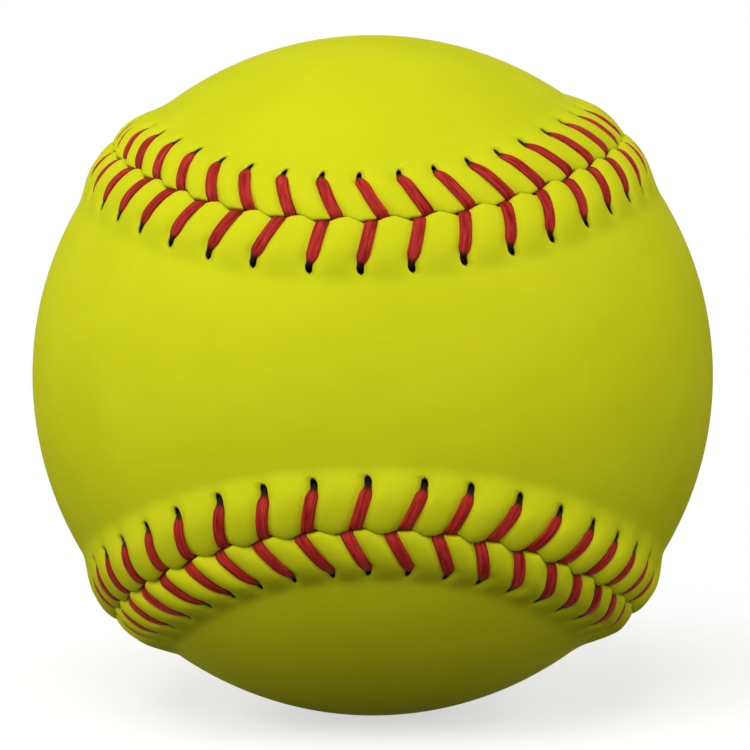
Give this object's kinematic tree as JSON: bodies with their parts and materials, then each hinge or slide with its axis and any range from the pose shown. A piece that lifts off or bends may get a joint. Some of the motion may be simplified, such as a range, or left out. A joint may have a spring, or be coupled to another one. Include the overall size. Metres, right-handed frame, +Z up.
{
  "type": "softball",
  "caption": "Round leather-covered ball with a raised, hand-sewn figure-eight seam in red thread over a moulded core, for pitching, batting and fielding.",
  "frame": {"origin": "centre of the ball", "axes": "+Z up as pictured; -Y towards the camera, at the middle of the front panel's waist; +X to the picture's right"},
  "size_m": [0.097, 0.097, 0.097],
  "materials": {
    "core_foam": "moulded polyurethane foam, matt",
    "cement": "dried latex cement, dull",
    "cover_leather": "smooth dyed leather, low sheen",
    "seam_thread": "waxed thread, soft sheen"
  },
  "bodies": {
    "root": {"core": "core_foam", "cement_coat": "cement", "cover_panel_front": "cover_leather", "cover_panel_back": "cover_leather", "seam_thread_first": "seam_thread", "seam_thread_second": "seam_thread"}
  },
  "joints": []
}
